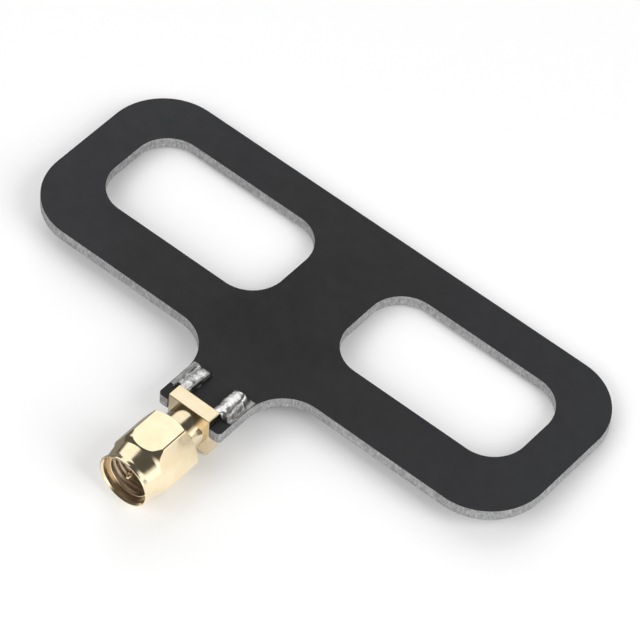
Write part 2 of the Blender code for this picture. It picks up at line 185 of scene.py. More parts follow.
def as_mesh(name, bm):
    """A plain mesh of what was drawn, with every face turned outwards."""
    bmesh.ops.recalc_face_normals(bm, faces=bm.faces)
    mesh = bpy.data.meshes.new(name)
    bm.to_mesh(mesh)
    bm.free()
    return mesh


def joined(name, meshes):
    """Puts several closed meshes into one."""
    bm = bmesh.new()
    for mesh in meshes:
        bm.from_mesh(mesh)
    return smooth_to(as_mesh(name, bm), sheet_crease)


def new_material(name, roughness, metallic):
    """A material with its shader, ready for the nodes that give it colour and surface."""
    material = bpy.data.materials.new(name)
    material.use_nodes = True
    shader = material.node_tree.nodes["Principled BSDF"]
    shader.inputs["Roughness"].default_value = roughness
    shader.inputs["Metallic"].default_value = metallic
    return material, shader


def add_node(material, kind, *links):
    """Adds a node; the links are (output, input name or number) pairs."""
    node = material.node_tree.nodes.new(kind)
    for output, name in links:
        material.node_tree.links.new(output, node.inputs[name])
    return node


def place_pattern(material, scale=(1, 1, 1)):
    """Object coordinates, stretched by a scale along each axis."""
    place = add_node(material, "ShaderNodeTexCoord")
    mapping = add_node(material, "ShaderNodeMapping", (place.outputs["Object"], "Vector"))
    mapping.inputs["Scale"].default_value = scale
    return mapping.outputs["Vector"]


def noise(material, vector, scale=1.0, detail=3.0, rough=0.55):
    """Cloudy noise from 0 to 1 on a pattern's coordinates."""
    node = add_node(material, "ShaderNodeTexNoise", (vector, "Vector"))
    node.inputs["Scale"].default_value = scale
    node.inputs["Detail"].default_value = detail
    node.inputs["Roughness"].default_value = rough
    return node.outputs["Fac"]


def ramp(material, factor, stops):
    """Turns a factor into a colour; the stops are (position, colour or grey level) pairs."""
    node = add_node(material, "ShaderNodeValToRGB", (factor, "Fac"))
    elements = node.color_ramp.elements
    while len(elements) < len(stops):
        elements.new(0.5)
    for element, (position, colour) in zip(elements, stops):
        element.position = position
        element.color = colour if hasattr(colour, "__len__") else (colour, colour, colour, 1)
    return node.outputs["Color"]


def bump(material, shader, height, strength, depth):
    """Gives a shader's surface a relief of so many metres."""
    node = add_node(material, "ShaderNodeBump", (height, "Height"))
    node.inputs["Strength"].default_value = strength
    node.inputs["Distance"].default_value = depth
    material.node_tree.links.new(node.outputs["Normal"], shader.inputs["Normal"])


def coat(material, shader, colour, roughness=None):
    """Runs a colour and, where one is given, a roughness into a shader."""
    material.node_tree.links.new(colour, shader.inputs["Base Color"])
    if roughness:
        material.node_tree.links.new(roughness, shader.inputs["Roughness"])


def math_node(tree, operation, *values):
    """Works on up to three values, each a number or the socket that it comes from."""
    node = tree.nodes.new("ShaderNodeMath")
    node.operation = operation
    for socket, value in zip(node.inputs, values):
        if isinstance(value, bpy.types.NodeSocket):
            tree.links.new(value, socket)
        else:
            socket.default_value = value
    return node.outputs[0]


def laminate_finish():
    """Grey resin with paler glass plies across its cut edge, speckled with the router's upright marks."""
    material, shader = new_material("laminate_edge", roughness=0.7, metallic=0.0)
    plies = noise(material, place_pattern(material, ply_grain), rough=0.6)
    marks = noise(material, place_pattern(material, router_grain), rough=0.65)
    both = math_node(material.node_tree, "MULTIPLY_ADD", plies, ply_share, marks)
    stops = [(0.50, resin_dark), (0.68, laminate_grey), (0.86, fibre_pale)]
    coat(material, shader, ramp(material, both, stops))
    bump(material, shader, marks, strength=0.4, depth=0.03 * mm)
    return material


laminate = laminate_finish()
outline, windows = board_outline(), window_outlines()
rim_loops = [outline] + windows + [board_outline(rim_of_resin)] + window_outlines(rim_of_resin)
core_mesh = joined("core", [
    flat_sheet("core", [outline] + windows, core_low.z, core_high.z, 0),
    flat_sheet("upper_rim", rim_loops, core_high.z, mask_top_low, 0),
    flat_sheet("lower_rim", rim_loops, mask_bottom_high, core_low.z, 0)])
add_piece("laminate_core", core_mesh, "board", "laminate", laminate, "board_core")

# Copper foil lies on both faces of the laminate, 35 micrometres thick, etched to shape.
# Plated holes tie the ground areas together and join the feed line to the far loop.
# The masks hide all of it, so the solids stay and take a finish of etched copper.
copper_red = (0.72, 0.33, 0.20, 1)
copper_dull = (0.50, 0.21, 0.13, 1)
copper_nodes = [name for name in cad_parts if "copper" in name or "via" in name or "ground" in name]
copper_nodes.append("feed_line")
copper_grain = (4000, 4000, 4000)


def grained_metal(name, grain_scale, stops, roughness):
    """Metal whose colour and faint relief follow one grain."""
    material, shader = new_material(name, roughness, metallic=1.0)
    grain = noise(material, place_pattern(material, grain_scale))
    coat(material, shader, ramp(material, grain, stops))
    bump(material, shader, grain, strength=0.2, depth=0.01 * mm)
    return material


def finish_node(name, material):
    """Gives a solid that stays in the scene its material."""
    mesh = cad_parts[name].data
    mesh.materials.clear()
    mesh.materials.append(material)


copper_stops = [(0.35, copper_dull), (0.65, copper_red)]
copper = grained_metal("etched_copper", copper_grain, copper_stops, roughness=0.35)
for name in copper_nodes:
    finish_node(name, copper)

# A black solder mask is screened over both faces and cured, with openings over the pads.
# It is matt, with a fine orange peel, darkest near the board's middle, and cut flush by the router.
# On the underside it rises over the feed line and the two ground areas.
mask_edge = 0.008 * mm
mask_sliver = 0.03 * mm
opening_corner_r = 0.15 * mm
mask_black = (0.0106, 0.0096, 0.0100, 1)
mask_grey = (0.0222, 0.0230, 0.0257, 1)
mask_middle = (-3 * mm, 26 * mm)
mask_drift = 1 / (90 * mm)
mask_cloud = 0.4
line_rise = 0.03 * mm
line_edge = 0.012 * mm
line_corner_r = 0.3 * mm
hole_ring_r = 0.32 * mm
hole_ring_rise = 0.035 * mm
hole_ring_steps = 32
hole_ring_sides = 10
hole_ring_crease = 60


def distance(material, scale, point):
    """How far a place is from a point, along each axis times its scale; the point is scaled too."""
    node = add_node(material, "ShaderNodeVectorMath", (place_pattern(material, scale), 0))
    node.operation = "DISTANCE"
    node.inputs[1].default_value = point
    return node.outputs["Value"]


def mask_finish():
    """Near black, greyer away from the middle of the board, with slow clouds in its gloss."""
    material, shader = new_material("matt_black_mask", roughness=0.55, metallic=0.0)
    shader.inputs["Specular IOR Level"].default_value = 0.30
    even = place_pattern(material)
    middle = (mask_middle[0] * mask_drift, mask_middle[1] * mask_drift, 0)
    clouds = noise(material, even, scale=90.0)
    away = distance(material, (mask_drift, mask_drift, 0), middle)
    fade = math_node(material.node_tree, "MULTIPLY_ADD", clouds, mask_cloud, away)
    colour = ramp(material, fade, [(0.15, mask_black), (0.65, mask_grey)])
    peel = noise(material, even, scale=5200.0, detail=2.0, rough=0.45)
    gloss = ramp(material, noise(material, even, scale=700.0), [(0.3, 0.50), (0.7, 0.60)])
    coat(material, shader, colour, gloss)
    bump(material, shader, peel, strength=0.22, depth=0.02 * mm)
    return material


def pad_corners(node):
    """The low and high corners of a pad; at the sides of the stem its tin runs out to the edge."""
    low, high = (corner.copy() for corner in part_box(node))
    if low.x > 0:
        high.x = stem_half - mask_sliver
    if high.x < 0:
        low.x = mask_sliver - stem_half
    return low, high


def opening(node):
    low, high = pad_corners(node)
    return rectangle(low.x, low.y, high.x, high.y, opening_corner_r)


mask = mask_finish()
top_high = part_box("top_mask")[1]
bottom_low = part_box("bottom_mask")[0]
top_pads = [opening("top_pad_left"), opening("top_pad_right")]
bottom_pads = [opening("bottom_pad_left"), opening("bottom_pad_right"), opening("feed_pad")]
top_mesh = flat_sheet("upper", [outline] + windows + top_pads, mask_top_low, top_high.z, mask_edge)
add_piece("top_mask_coat", top_mesh, "board", "solder_mask", mask, "top_mask")
lower_loops = [outline] + windows + bottom_pads
bottom_mesh = flat_sheet("lower", lower_loops, bottom_low.z, mask_bottom_high, mask_edge)
add_piece("bottom_mask_coat", bottom_mesh, "board", "solder_mask", mask, "bottom_mask")


def line_outline(node, start):
    """What a piece of copper raises in the mask, from a start that clears the pads."""
    low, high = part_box(node)
    return rectangle(low.x - line_rise, start, high.x + line_rise, high.y + line_rise, line_corner_r)


for name, pad in (("feed_line", "feed_pad"), ("bottom_ground_left", "bottom_pad_left"),
                  ("bottom_ground_right", "bottom_pad_right")):
    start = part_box(pad)[1].y + line_rise
    ridge_low, ridge_high = bottom_low.z - line_rise, bottom_low.z + line_edge
    ridge = flat_sheet(name, [line_outline(name, start)], ridge_low, ridge_high, line_edge)
    add_piece(f"mask_over_{name}", ridge, "board", "solder_mask", mask)


def start_tree(name, titles):
    """A node tree that is given points, numbers and a finish, with the socket of each by its title."""
    tree = bpy.data.node_groups.new(name, "GeometryNodeTree")
    face = tree.interface
    face.new_socket("Geometry", in_out="INPUT", socket_type="NodeSocketGeometry")
    kinds = dict.fromkeys(titles, "NodeSocketFloat") | {"Finish": "NodeSocketMaterial"}
    sockets = {}
    for title, kind in kinds.items():
        sockets[title] = face.new_socket(title, in_out="INPUT", socket_type=kind).identifier
    face.new_socket("Geometry", in_out="OUTPUT", socket_type="NodeSocketGeometry")
    return tree, sockets, tree.nodes.new("NodeGroupInput")


def end_tree(tree, given, shape):
    """Makes the shape real, gives it the finish and hands it out."""
    nodes, links = tree.nodes, tree.links
    realize, paint = nodes.new("GeometryNodeRealizeInstances"), nodes.new("GeometryNodeSetMaterial")
    links.new(shape, realize.inputs["Geometry"])
    links.new(realize.outputs["Geometry"], paint.inputs["Geometry"])
    links.new(given.outputs["Finish"], paint.inputs["Material"])
    links.new(paint.outputs["Geometry"], nodes.new("NodeGroupOutput").inputs["Geometry"])


def hole_rings_tree():
    """A low ring on each point given to it, where the mask bridges a plated hole."""
    tree, sockets, given = start_tree("hole_rings", ("Ring radius", "Ring rise"))
    nodes, links = tree.nodes, tree.links
    path = nodes.new("GeometryNodeCurvePrimitiveCircle")
    section = nodes.new("GeometryNodeCurvePrimitiveCircle")
    path.inputs["Resolution"].default_value = hole_ring_steps
    section.inputs["Resolution"].default_value = hole_ring_sides
    sweep, place = nodes.new("GeometryNodeCurveToMesh"), nodes.new("GeometryNodeInstanceOnPoints")
    links.new(given.outputs["Ring radius"], path.inputs["Radius"])
    links.new(given.outputs["Ring rise"], section.inputs["Radius"])
    links.new(path.outputs["Curve"], sweep.inputs["Curve"])
    links.new(section.outputs["Curve"], sweep.inputs["Profile Curve"])
    links.new(given.outputs["Geometry"], place.inputs["Points"])
    links.new(sweep.outputs["Mesh"], place.inputs["Instance"])
    end_tree(tree, given, place.outputs["Instances"])
    return tree, sockets


def grown(name, verts, tree, values):
    """Runs a node tree on loose points and gives the plain mesh."""
    seed_mesh = bpy.data.meshes.new(name)
    seed_mesh.from_pydata(verts, [], [])
    seed = in_scene(name, seed_mesh)
    modifier = seed.modifiers.new(name, "NODES")
    modifier.node_group = tree
    for identifier, value in values.items():
        modifier[identifier] = value
    return evaluated_mesh(seed)


hole_places = []
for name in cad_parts:
    if "via" in name:
        low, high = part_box(name)
        middle = (low + high) / 2
        hole_places.append((middle.x, middle.y, bottom_low.z - line_rise))
rings_tree, rings_socket = hole_rings_tree()
rings = grown("hole_rings", hole_places, rings_tree, {
    rings_socket["Ring radius"]: hole_ring_r,
    rings_socket["Ring rise"]: hole_ring_rise,
    rings_socket["Finish"]: mask})
add_piece("mask_over_holes", smooth_to(clean(rings), hole_ring_crease), "board", "solder_mask", mask)

# Each pad is copper that the mask leaves bare, levelled with hot tin.
# The tin stands a little proud of the mask, swells towards its middle and has dried in ripples.
# On the four ground pads it runs out to the sides of the stem.
tin_swell = 0.03 * mm
tin_ripple = 0.012 * mm
ripple_count = 40
ripple_spread = 0.06
ripple_seed = 31
lump_sizes = (0.5, 1.5)
swell_band = 0.25
ripple_band = 0.125
pad_cells = 48
heap_sole = 0.04 * mm
heap_crease = 50
tin_pale = (0.32, 0.316, 0.303, 1)
tin_dull = (0.15, 0.15, 0.145, 1)


def lumps(shape, count, spread, height, seed):
    """Seeded soft lumps on a grid, each spread over a share of the grid's length."""
    random = np.random.default_rng(seed)
    rows, columns = np.mgrid[0:shape[0], 0:shape[1]]
    field = np.zeros(shape)
    for _ in range(count):
        row, column = random.uniform(0, shape[0]), random.uniform(0, shape[1])
        size = spread * max(shape) * random.uniform(*lump_sizes)
        lift = height * random.uniform(-1, 1)
        field += lift * np.exp(-((rows - row) ** 2 + (columns - column) ** 2) / (2 * size ** 2))
    return field


def heap(name, xs, ys, heights, foot, upward):
    """A closed mesh whose foot is flat and whose other side follows the heights."""
    across, along = len(xs), len(ys)
    bm = bmesh.new()
    crown = [[bm.verts.new((x, y, foot + upward * heights[i, j])) for j, y in enumerate(ys)]
             for i, x in enumerate(xs)]
    sole = [[bm.verts.new((x, y, foot - upward * heap_sole)) for y in ys] for x in xs]
    for i in range(across - 1):
        for j in range(along - 1):
            for sheet in (crown, sole):
                bm.faces.new((sheet[i][j], sheet[i + 1][j], sheet[i + 1][j + 1], sheet[i][j + 1]))
    rim = [(i, 0) for i in range(across)] + [(across - 1, j) for j in range(1, along)]
    rim += [(i, along - 1) for i in range(across - 2, -1, -1)] + [(0, j) for j in range(along - 2, 0, -1)]
    for (i, j), (m, n) in zip(rim, rim[1:] + rim[:1]):
        bm.faces.new((crown[i][j], crown[m][n], sole[m][n], sole[i][j]))
    return smooth_to(as_mesh(name, bm), heap_crease)


def tin_finish():
    material, shader = new_material("levelled_tin", roughness=0.28, metallic=1.0)
    even = place_pattern(material)
    streak = noise(material, place_pattern(material, (2600, 500, 800)))
    haze = ramp(material, noise(material, even, scale=2200.0), [(0.3, 0.22), (0.7, 0.42)])
    coat(material, shader, ramp(material, streak, [(0.3, tin_dull), (0.65, tin_pale)]), haze)
    bump(material, shader, noise(material, even, scale=2600.0), strength=0.25, depth=0.03 * mm)
    return material


tin = tin_finish()
for number, (name, upward) in enumerate((("top_pad_left", 1), ("top_pad_right", 1), ("bottom_pad_left", -1),
                                         ("bottom_pad_right", -1), ("feed_pad", -1))):
    low, high = pad_corners(name)
    xs, ys = np.linspace(low.x, high.x, pad_cells), np.linspace(low.y, high.y, pad_cells)
    inward = 1 - np.abs(np.linspace(-1, 1, pad_cells))
    fall = np.minimum.outer(inward, inward)
    swell = tin_swell * np.sqrt(np.clip(fall / swell_band, 0, 1))
    ripples = lumps((pad_cells, pad_cells), ripple_count, ripple_spread, tin_ripple, ripple_seed + number)
    swell += np.clip(fall / ripple_band, 0, 1) * ripples
    foot = high.z if upward > 0 else low.z
    add_piece(f"tinned_{name}", heap(name, xs, ys, swell, foot, upward), "board", "tin", tin, name)

# The plug's body is turned and milled from brass and plated with pale bright gold.
# A square flange seats in the notch at the stem's end, and its four legs grip the board's two faces.
# A barrel in front of it carries the nut, and a thin sleeve in front of the barrel makes contact.
body_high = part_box("plug_body")[1]
seat = 0.02 * mm
overrun = 1.0 * mm
flange_half = 3.175 * mm
flange_front = 8.4 * mm
flange_back = 10.4 * mm
flange_edge = 0.10 * mm
leg_edge = 0.22 * mm
leg_width = 1.0 * mm
leg_out = 3.055 * mm
leg_foot = top_high.z + seat
leg_height = leg_out - leg_foot
leg_sink = 0.32 * mm
barrel_r = 2.7 * mm
barrel_front = 2.4 * mm
groove_r = 2.4 * mm
groove_y = 4.4 * mm
groove_half = 0.47 * mm
sleeve_r = 2.3 * mm
sleeve_bore_r = 2.05 * mm
turned_edge = 0.06 * mm
turned_steps = 128
edge_steps = 3
milled_crease = 14
plate_smooth = 0.13
plate_rough = 0.21
# The body's gold is the pin's plating made darker: painted shade.
body_shaded_pale = (0.75, 0.645, 0.455, 1)
body_shaded_deep = (0.70, 0.580, 0.385, 1)


def gold_finish(name, deep, pale, smoothest, roughest):
    """Pale gold that is a touch deeper in places, with the faint rings that turning leaves."""
    material, shader = new_material(name, smoothest, metallic=1.0)
    even = place_pattern(material)
    cloud = noise(material, even, scale=420.0, detail=2.0)
    haze = ramp(material, noise(material, even, scale=900.0), [(0.3, smoothest), (0.7, roughest)])
    coat(material, shader, ramp(material, cloud, [(0.30, deep), (0.62, pale)]), haze)
    rings = noise(material, place_pattern(material, (60, 9000, 60)), detail=2.0)
    bump(material, shader, rings, strength=0.06, depth=0.01 * mm)
    return material


def turned(name, profile, steps):
    """Spins a closed (radius, y) outline about the plug's axis."""
    bm = bmesh.new()
    rings = []
    angles = [2 * math.pi * step / steps for step in range(steps)]
    for radius, y in profile:
        if radius < merge_gap:
            rings.append([bm.verts.new((0, y, 0))] * steps)
            continue
        rings.append([bm.verts.new((radius * math.cos(angle), y, radius * math.sin(angle)))
                      for angle in angles])
    for first, second in zip(rings, rings[1:] + rings[:1]):
        for step in range(steps):
            corners = (first[step], first[step - 1], second[step - 1], second[step])
            corners = [vert for index, vert in enumerate(corners) if vert not in corners[:index]]
            if len(corners) > 2:
                bm.faces.new(corners)
    return as_mesh(name, bm)


def block(name, low, high, edge):
    """A box with its edges rounded."""
    bm = bmesh.new()
    bmesh.ops.create_cube(bm, size=1)
    for vert in bm.verts:
        vert.co = [a if side < 0 else b for a, b, side in zip(low, high, vert.co)]
    bmesh.ops.bevel(bm, geom=bm.edges[:], offset=edge, segments=edge_steps, profile=0.5, affect="EDGES")
    return as_mesh(name, bm)


def combined(name, first, *others):
    """Joins or cuts meshes in turn; each other is a (mesh, operation) pair."""
    base = in_scene(name, first)
    tools = []
    for mesh, operation in others:
        tool = in_scene(name + "_tool", mesh)
        tools.append(tool)
        modifier = base.modifiers.new(operation, "BOOLEAN")
        modifier.operation = operation
        modifier.object = tool
        modifier.solver = "EXACT"
    mesh = evaluated_mesh(base)
    for tool in tools:
        bpy.data.objects.remove(tool, do_unlink=True)
    return mesh


def fillets(corners):
    """A turned outline from (radius, y, rounding) corners."""
    return [(point.x, point.y) for point in rounded(corners)]


# The body takes the darker copy of the gold, as painted shade.
shaded_body_gold = gold_finish("gold_painted_shade_on_body", body_shaded_deep, body_shaded_pale, plate_smooth, plate_rough)
flange_low = (-flange_half, flange_front, -flange_half)
flange = block("flange", flange_low, (flange_half, flange_back, flange_half), flange_edge)
barrel = fillets([(0, flange_back - turned_edge, 0), (0, 0, 0), (sleeve_r, 0, turned_edge),
                  (sleeve_r, barrel_front, 0), (barrel_r, barrel_front, turned_edge),
                  (barrel_r, groove_y - groove_half, turned_edge), (groove_r, groove_y - groove_half, 0),
                  (groove_r, groove_y + groove_half, 0), (barrel_r, groove_y + groove_half, turned_edge),
                  (barrel_r, flange_back - turned_edge, 0)])
bore_front, bore_back = -overrun, flange_back + overrun
bore = fillets([(0, bore_back, 0), (0, bore_front, 0),
                (sleeve_bore_r, bore_front, 0), (sleeve_bore_r, bore_back, 0)])
steps_to_body = [(turned("barrel", barrel, turned_steps), "UNION")]
for side in (-1, 1):
    for foot, tip in ((leg_foot, leg_out - leg_sink),
                      (bottom_low.z - leg_height - seat + leg_sink, bottom_low.z - seat)):
        x0, x1 = sorted((side * (leg_out - leg_width), side * leg_out))
        leg = block("leg", (x0, flange_back - overrun, foot), (x1, body_high.y, tip), leg_edge)
        steps_to_body.append((leg, "UNION"))
steps_to_body.append((turned("bore", bore, turned_steps), "DIFFERENCE"))
body_mesh = smooth_to(combined("body", flange, *steps_to_body), milled_crease)
add_piece("gold_plug_body", body_mesh, "board", "gold_plate", shaded_body_gold, "plug_body")

# The insulator is a white fluoropolymer plug pressed into the body, holding the pin on the axis.
# Its front face is flush with the sleeve, and its edge is broken where it was parted off.
insulator_edge = 0.08 * mm
ring_steps = 96
turned_crease = 30
insulator_white = (0.86, 0.85, 0.81, 1)
insulator_warm = (0.78, 0.76, 0.70, 1)


def fluoropolymer_finish():
    material, shader = new_material("fluoropolymer", roughness=0.42, metallic=0.0)
    waxy = noise(material, place_pattern(material), scale=600.0)
    coat(material, shader, ramp(material, waxy, [(0.3, insulator_warm), (0.6, insulator_white)]))
    shader.inputs["Subsurface Weight"].default_value = 0.15
    shader.inputs["Subsurface Scale"].default_value = 0.4 * mm
    cuts = noise(material, place_pattern(material, (90, 5000, 90)))
    bump(material, shader, cuts, strength=0.15, depth=0.01 * mm)
    return material


insulator_low, insulator_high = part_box("insulator")
pin_low, pin_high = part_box("centre_pin")
pin_r = pin_high.x
collar = fillets([
    (pin_r + seat, insulator_low.y, 0), (insulator_high.x, insulator_low.y, insulator_edge),
    (insulator_high.x, insulator_high.y, insulator_edge), (pin_r + seat, insulator_high.y, 0)])
insulator_mesh = smooth_to(turned("insulator", collar, ring_steps), turned_crease)
add_piece("white_insulator", insulator_mesh, "board", "insulator", fluoropolymer_finish(), "insulator")

# The pin is gold-plated brass, with a tapered nose that enters the socket.
# Its tail runs out behind the flange along the underside of the board to the feed pad.
# Its gold, which the nut shares, is a little paler than the body's, which is the same plating darkened as
# painted shade.
gold_pale = (0.86, 0.740, 0.520, 1)
gold_deep = (0.80, 0.665, 0.440, 1)
nose_length = 0.55 * mm
nose_r = 0.20 * mm
nose_edge = 0.14 * mm
taper_edge = 0.5 * mm
tail_edge = 0.05 * mm
pin_steps = 64
gold = gold_finish("gold_plate", gold_deep, gold_pale, plate_smooth, plate_rough)
pin_line = fillets([(0, pin_high.y, 0), (0, pin_low.y, 0), (nose_r, pin_low.y, nose_edge),
                    (pin_r, pin_low.y + nose_length, taper_edge), (pin_r, pin_high.y, tail_edge)])
pin_mesh = smooth_to(turned("pin", pin_line, pin_steps), turned_crease)
add_piece("gold_pin", pin_mesh, "board", "gold_plate", gold, "centre_pin")

# The legs and the pin's tail are soldered by hand, so each joint is a lumpy heap, painted dark low by the
# board as painted shade and pale higher up as painted highlight.
# It covers the lead, runs up to the flange and rounds off at its far end, where its toes draw in.
# Over the pad it flows out in a hollow toe or ends in a swollen one.
solder_cell = 0.04 * mm
solder_crown = 0.09
solder_sway = 0.16 * mm
solder_film = 0.02 * mm
solder_lumps = ((18, 0.085, 1.3), (60, 0.045, 0.40), (380, 0.014, 0.20))
lump_reach = 3
wander_lumps = (9, 0.07)
sway_lumps = (7, 0.10)
settle_passes = 10
polish_passes = 2
toe_wander = 0.35
toe_drawn = 0.65
front_toe = 0.55 * mm
front_turn = 0.30 * mm
hollow, swollen, steep = (1, 1.2), (2, 1.0), (2, 0.6)
# Solder colours: the dull one is painted shade low on a heap, the bright one painted highlight high on it.
solder_painted_highlight = (0.80, 0.797, 0.78, 1)
solder_painted_shade = (0.21, 0.207, 0.20, 1)
board_middle = (top_high.z + bottom_low.z) / 2
painted_shade_height = 0.55 * mm
painted_highlight_height = 1.05 * mm
painted_light_share = 0.5


def fade_node(tree, value, start, end, top=1.0):
    """Rises from 0 to a top as a value goes from a start to an end."""
    node = tree.nodes.new("ShaderNodeMapRange")
    tree.links.new(value, node.inputs["Value"])
    node.inputs["From Min"].default_value = start
    node.inputs["From Max"].default_value = end
    node.inputs["To Max"].default_value = top
    return node.outputs["Result"]


def solder_finish():
    material, shader = new_material("solder_with_painted_light", roughness=0.2, metallic=1.0)
    tree = material.node_tree
    even = place_pattern(material)
    # Painted shade low on the heap and painted highlight higher up, by height above the board, mixed with a
    # random grain.
    height = distance(material, (0, 0, 1), (0, 0, board_middle))
    half_board = top_high.z - board_middle
    painted_light_by_height = fade_node(tree, height, half_board + painted_shade_height, half_board + painted_highlight_height)
    grain = noise(material, even, scale=1500.0)
    painted_light_and_grain = math_node(tree, "MULTIPLY_ADD", painted_light_by_height, painted_light_share, grain)
    haze = ramp(material, noise(material, even, scale=1100.0), [(0.3, 0.22), (0.7, 0.42)])
    coat(material, shader, ramp(material, painted_light_and_grain, [(0.55, solder_painted_shade), (1.00, solder_painted_highlight)]), haze)
    bump(material, shader, noise(material, even, scale=3200.0), strength=0.3, depth=0.03 * mm)
    return material


def flank(gap, form):
    """The share of its height that a heap keeps between its crown, at gap 0, and its toe, at 1."""
    return (1 - np.clip(gap, 0, 1) ** form[0]) ** form[1]


def settled(heights, passes):
    """Heights that have run together, each drawn towards its four neighbours."""
    for _ in range(passes):
        padded = np.pad(heights, 1, mode="edge")
        beside = padded[:-2, 1:-1] + padded[2:, 1:-1] + padded[1:-1, :-2] + padded[1:-1, 2:]
        heights = (beside + 2 * heights) / 6
    return heights


def soldered(name, lead, foot, upward, lean, sides, dome, end, rough, seed):
    """A heap over a lead (x0, x1, y0, y1, height); its sides are (toe, form) pairs, low x first.

    Its far end curves down over the dome and runs on past the lead by the end.
    """
    x0, x1, y0, y1, height = lead
    (low_toe, low_form), (high_toe, high_form) = sides
    xs = np.arange(x0 - low_toe, x1 + high_toe + solder_cell, solder_cell)
    ys = np.arange(y0, y1 + end + solder_cell, solder_cell)
    grid = (len(xs), len(ys))
    ending = np.clip((ys - y1 + dome) / (dome + end), 0, 1)
    wetted = 1 - toe_wander * np.abs(np.tanh(lumps((1, grid[1]), *wander_lumps, 1, seed + 2)))
    wetted *= 1 - toe_drawn * ending ** 2
    sway = solder_sway * np.tanh(lumps((1, grid[1]), *sway_lumps, 1, seed + 3))
    place, low, high = xs[:, None], x0 + sway, x1 + sway
    across = 1 - solder_crown * (2 * (np.clip(place, low, high) - low) / (x1 - x0) - 2 * lean) ** 2
    across *= flank((low - place) / (low - xs[0]) / wetted, low_form)
    across *= flank((place - high) / (xs[-1] - high) / wetted, high_form)
    beside = np.clip((np.abs(place) - flange_half) / front_turn, 0, 1)
    across *= 1 - beside * (1 - flank((y0 + front_toe - ys) / front_toe, swollen))
    along = flank(ending, swollen)
    heights = settled((height + solder_film) * across * along, settle_passes) - solder_film
    body = np.clip(np.minimum(across, along) * lump_reach, 0, 1)
    for count, spread, share in solder_lumps:
        heights += body * lumps(grid, count, spread, rough * share, seed + count)
    return heap(name, xs, ys, np.maximum(settled(heights, polish_passes), -solder_film), foot, upward)


solder = solder_finish()
toe_in, toe_end, end_dome = 0.32 * mm, 0.40 * mm, 0.40 * mm
toe_out = {"left": 0.40 * mm, "right": 0.95 * mm}
rise = {"left": 0.88 * mm, "right": 1.08 * mm}
spill = {"left": 0.80 * mm, "right": 0.55 * mm}
lean = {"left": 0.72, "right": 0.92}
outer_form = {"left": hollow, "right": swollen}
leg_rough = 0.10 * mm
first_seed = {"top": 7, "bottom": 17}
for face, upward, foot in (("top", 1, top_high.z), ("bottom", -1, bottom_low.z)):
    for side, word in ((-1, "left"), (1, "right")):
        x0, x1 = sorted((side * (leg_out - leg_width), side * (leg_out + spill[word])))
        inner, outer = (toe_in, steep), (toe_out[word], outer_form[word])
        sides = (outer, inner) if side < 0 else (inner, outer)
        lead = (x0, x1, flange_back + seat, body_high.y, rise[word])
        joint = soldered(word, lead, foot, upward, lean[word], sides, end_dome, toe_end,
                         leg_rough, first_seed[face] + side)
        add_piece(f"solder_{face}_{word}_heap", joint, "board", "solder", solder, f"solder_{face}_{word}")
feed_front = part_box("solder_feed")[0].y
feed_toe = 0.38 * mm
feed_cover = 0.10 * mm
feed_lean = 0.5
feed_dome = 0
feed_end = 0.2 * mm
feed_rough = 0.05 * mm
feed_seed = 61
feed_lead = (-pin_r, pin_r, feed_front, pin_high.y, pin_r + bottom_low.z + feed_cover)
feed_sides = ((feed_toe, hollow), (feed_toe, hollow))
feed_joint = soldered("feed", feed_lead, bottom_low.z, -1, feed_lean, feed_sides, feed_dome, feed_end,
                      feed_rough, feed_seed)
add_piece("solder_feed_heap", feed_joint, "board", "solder", solder, "solder_feed")

# A silicone gasket sits round the sleeve against the barrel and seals the coupled joint.
# It is moulded, red and slightly shiny, with rounded edges.
gasket_red = (0.45, 0.080, 0.050, 1)
gasket_dark = (0.33, 0.050, 0.032, 1)
gasket_edge = 0.12 * mm


def silicone_finish():
    material, shader = new_material("red_silicone", roughness=0.5, metallic=0.0)
    even = place_pattern(material)
    cloud = noise(material, even, scale=1500.0)
    coat(material, shader, ramp(material, cloud, [(0.3, gasket_dark), (0.65, gasket_red)]))
    bump(material, shader, noise(material, even, scale=5000.0), strength=0.15, depth=0.01 * mm)
    return material


gasket_low, gasket_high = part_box("gasket")
gasket_line = fillets([(radius, y, gasket_edge) for radius, y in (
    (sleeve_r + seat, gasket_low.y), (gasket_high.x, gasket_low.y),
    (gasket_high.x, gasket_high.y), (sleeve_r + seat, gasket_high.y))])
gasket_mesh = smooth_to(turned("gasket", gasket_line, ring_steps), turned_crease)
add_piece("silicone_gasket", gasket_mesh, "board", "gasket", silicone_finish(), "gasket")

# A split ring of spring steel snaps into grooves in the barrel and the nut and holds the nut on.
# It stays hidden inside, so its solid is kept and takes a finish of drawn spring steel.
steel_pale = (0.58, 0.58, 0.56, 1)
steel_dark = (0.42, 0.42, 0.41, 1)
steel_grain = (200, 6000, 200)
steel_stops = [(0.3, steel_dark), (0.7, steel_pale)]
steel = grained_metal("spring_steel", steel_grain, steel_stops, roughness=0.3)
finish_node("retaining_ring", steel)

